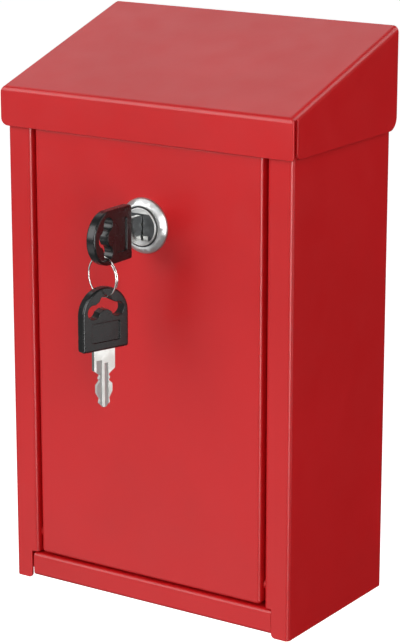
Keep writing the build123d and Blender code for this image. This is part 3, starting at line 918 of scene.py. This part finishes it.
@dataclass
class CamLock:
    """The cam lock: trim ring, barrel with its washer and nut, and the turning core with its cam."""

    trim_edge: float = 0.12 * MM
    small_edge: float = 0.15 * MM
    hair_edge: float = 0.05 * MM
    nut_edge: float = 0.35 * MM

    def build(self, shop: Paintshop) -> None:
        """Dresses every piece of the lock."""
        small = EdgeRounding(self.small_edge)
        trim = EdgeRounding(self.trim_edge)
        hair = EdgeRounding(self.hair_edge)
        finished_copy("lock_bezel", trim, shop, Slot.BRUSHED_BEZEL, Body.DOOR)
        finished_copy("lock_housing", trim, shop, Slot.DARK_ZINC, Body.DOOR)
        finished_copy("lock_washer", hair, shop, Slot.ZINC, Body.DOOR)
        finished_copy("lock_nut", EdgeRounding(self.nut_edge, 3), shop, Slot.ZINC, Body.DOOR)
        finished_copy("lock_plug", hair, shop, Slot.PLUG_CHROME, Body.LOCK_CORE)
        finished_copy("plug_insert", hair, shop, Slot.DARK_ZINC, Body.LOCK_CORE)
        finished_copy("lock_wafers", hair, shop, Slot.BRASS_WAFER, Body.LOCK_CORE)
        for name in ("stop_washer", "lock_cam", "cam_washer", "cam_screw"):
            finished_copy(name, small, shop, Slot.ZINC, Body.LOCK_CORE)
        BarrelThread().build(shop)


def mark_grooves(blade: bpy.types.Object, least_depth: float) -> None:
    """Marks the faces of a blade's grooves, where its finish paints shade.

    Args:
        blade: The finished blade.
        least_depth: How far below the flats a groove's face lies, at least.
    """
    mesh = blade.data
    flat = max(mesh.polygons, key=lambda face: face.area).normal.copy()
    levels = [vertex.co.dot(flat) for vertex in mesh.vertices]
    middle, half = (max(levels) + min(levels)) / 2, (max(levels) - min(levels)) / 2
    mark = mesh.attributes.new(GROOVE, "FLOAT", "FACE")
    for face in mesh.polygons:
        depth = sum(half - abs(levels[place] - middle) for place in face.vertices) / len(face.vertices)
        mark.data[face.index].value = float(depth > least_depth)


@dataclass
class Keys:
    """The key in the lock, the ring through its bow and the spare key on the ring."""

    bow_edge: float = 0.25 * MM
    blade_edge: float = 0.05 * MM
    groove_least: float = 0.06 * MM

    def build(self, shop: Paintshop) -> None:
        """Dresses both keys and the ring."""
        for prefix, body in (("key", Body.KEY), ("spare_key", Body.SPARE_KEY)):
            blade = finished_copy(f"{prefix}_blade", EdgeRounding(self.blade_edge), shop, Slot.KEY_STEEL, body)
            if body is Body.SPARE_KEY:
                mark_grooves(blade, self.groove_least)
            finished_copy(f"{prefix}_bow", EdgeRounding(self.bow_edge), shop, Slot.BLACK_PLASTIC, body)
        finished_copy("key_ring", EdgeRounding(0.0), shop, Slot.KEY_STEEL, Body.RING)


def heading_to(azimuth: float, elevation: float) -> Vector:
    """Returns the way to a point of the studio.

    Args:
        azimuth: Degrees from straight in front of the door, towards the box's right side.
        elevation: Degrees above the level.

    Returns:
        A unit vector from the box.
    """
    turn, rise = math.radians(azimuth), math.radians(elevation)
    return Vector((math.sin(turn) * math.cos(rise), -math.cos(turn) * math.cos(rise), math.sin(rise)))


class Throw(Enum):
    """What a panel of light is seen in: the matt share of a surface, its gloss, or both."""

    MATT = "matt"
    GLOSS = "gloss"
    BOTH = "both"


@dataclass
class AreaLight:
    """A soft panel of light that faces the box."""

    name: str
    azimuth: float
    elevation: float
    distance: float
    size: tuple[float, float]
    radiance: float
    throw: Throw = Throw.BOTH
    colour: str = WHITE

    def build(self) -> None:
        """Hangs the panel and turns it to the box."""
        lamp = bpy.data.lights.new(self.name, "AREA")
        lamp.shape = "RECTANGLE"
        lamp.size, lamp.size_y = self.size
        lamp.energy = self.radiance * math.pi * self.size[0] * self.size[1]
        lamp.color = linear(self.colour)[:3]
        holder = bpy.data.objects.new(self.name, lamp)
        bpy.context.scene.collection.objects.link(holder)
        toward = heading_to(self.azimuth, self.elevation)
        holder.location = toward * self.distance
        holder.rotation_euler = (-toward).to_track_quat("-Z", "Y").to_euler()
        holder.visible_diffuse = self.throw is not Throw.GLOSS
        holder.visible_glossy = self.throw is not Throw.MATT


@dataclass
class Studio:
    """A pale floor, soft panels of light and the camera at the photograph's place."""

    camera_place: tuple[float, float, float] = (0.57865, -0.91325, 0.28653)
    camera_turn: tuple[float, float, float] = (74.9191, 0.0, 33.6767)
    lens: float = 132.627
    film: float = 36.0
    near: float = 0.05
    far: float = 50.0
    floor_height: float = -0.45
    floor_reach: float = 9.0
    floor_colour: str = "#F4F4F4"
    floor_roughness: float = 0.9
    floor_glow: float = 0.8
    surround: float = 0.22
    shade: float = 0.03
    shade_way: tuple[float, float] = (146.0, -15.0)
    shade_core: float = 25.0
    shade_edge: float = 55.0
    lights: Sequence[AreaLight] = (
        AreaLight("key_panel", -29.0, 24.0, 1.9, (1.5, 1.4), 3.7),
        AreaLight("camera_strip", 40.0, 5.0, 1.5, (0.3, 1.5), 6.5, Throw.MATT),
        AreaLight("lock_panel", 10.0, 28.0, 1.7, (0.45, 0.45), 4.0, Throw.GLOSS),
        AreaLight("bend_strip", 49.0, 4.0, 1.7, (0.4, 1.5), 14.0, Throw.GLOSS),
        AreaLight("floor_bounce", -20.0, -32.0, 1.7, (1.8, 1.0), 0.95),
        AreaLight("side_panel", 107.0, 8.0, 1.6, (0.8, 1.6), 1.6),
        AreaLight("back_panel", -131.0, 44.0, 1.9, (1.6, 0.9), 0.85),
        AreaLight("roof_panel", 133.0, 45.0, 1.9, (1.0, 0.8), 3.0),
    )

    def build(self) -> None:
        """Sets up the stage."""
        self.add_camera()
        self.add_floor()
        self.add_surround()
        for light in self.lights:
            light.build()
        view = bpy.context.scene.view_settings
        view.view_transform = "Standard"
        view.look = "None"

    def add_camera(self) -> None:
        """Places the camera where the photograph was taken from."""
        camera = bpy.data.cameras.new("camera")
        camera.lens = self.lens
        camera.sensor_width = self.film
        camera.sensor_fit = "AUTO"
        camera.clip_start = self.near
        camera.clip_end = self.far
        holder = bpy.data.objects.new("camera", camera)
        bpy.context.scene.collection.objects.link(holder)
        holder.location = self.camera_place
        holder.rotation_euler = [math.radians(turn) for turn in self.camera_turn]
        bpy.context.scene.camera = holder

    def add_floor(self) -> None:
        """Lays a plain white floor well below the box, which hangs on its wall."""
        mesh = bpy.data.meshes.new("floor")
        reach = self.floor_reach
        corners = [(-reach, -reach), (reach, -reach), (reach, reach), (-reach, reach)]
        mesh.from_pydata([(x, y, self.floor_height) for x, y in corners], [], [(0, 1, 2, 3)])
        material = bpy.data.materials.new("white sweep")
        material.use_nodes = True
        shader = material.node_tree.nodes["Principled BSDF"]
        shader.inputs["Base Color"].default_value = linear(self.floor_colour)
        shader.inputs["Roughness"].default_value = self.floor_roughness
        shader.inputs["Emission Color"].default_value = linear(WHITE)
        shader.inputs["Emission Strength"].default_value = self.floor_glow
        mesh.materials.append(material)
        floor = bpy.data.objects.new("floor", mesh)
        bpy.context.scene.collection.objects.link(floor)
        floor.visible_diffuse = False
        floor.visible_glossy = False

    def add_surround(self) -> None:
        """Surrounds the object with even light and one shaded side, and shows white behind it."""
        world = bpy.data.worlds.new("white studio")
        world.use_nodes = True
        tree = world.node_tree
        tree.nodes.clear()
        way = add_node(tree, "ShaderNodeTexCoord").outputs["Generated"]
        nearness = add_node(
            tree,
            "ShaderNodeVectorMath",
            {0: way, 1: tuple(heading_to(*self.shade_way))},
            {"operation": "DOT_PRODUCT"},
        )
        strength = add_node(
            tree,
            "ShaderNodeMapRange",
            {
                "Value": nearness.outputs["Value"],
                "From Min": math.cos(math.radians(self.shade_edge)),
                "From Max": math.cos(math.radians(self.shade_core)),
                "To Min": self.surround,
                "To Max": self.shade,
            },
            {"interpolation_type": "SMOOTHSTEP"},
        )
        around = add_node(
            tree, "ShaderNodeBackground", {"Color": linear(WHITE), "Strength": strength.outputs["Result"]}
        )
        white = add_node(tree, "ShaderNodeBackground", {"Color": linear(WHITE), "Strength": 1.0})
        ray = add_node(tree, "ShaderNodeLightPath")
        either = add_node(
            tree,
            "ShaderNodeMixShader",
            {0: ray.outputs["Is Camera Ray"], 1: around.outputs[0], 2: white.outputs[0]},
        )
        add_node(tree, "ShaderNodeOutputWorld", {"Surface": either.outputs[0]})
        bpy.context.scene.world = world


def main() -> None:
    """Dresses the box from the wall outwards, then lights it."""
    logging.basicConfig(level=logging.INFO, format="%(message)s")
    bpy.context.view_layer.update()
    shop = Paintshop()
    for part in (Cabinet(), Hood(), Door(), CamLock(), Keys()):
        part.build(shop)
        log.info("%s is dressed", type(part).__name__)
    Studio().build()


if __name__ == "__main__":
    main()
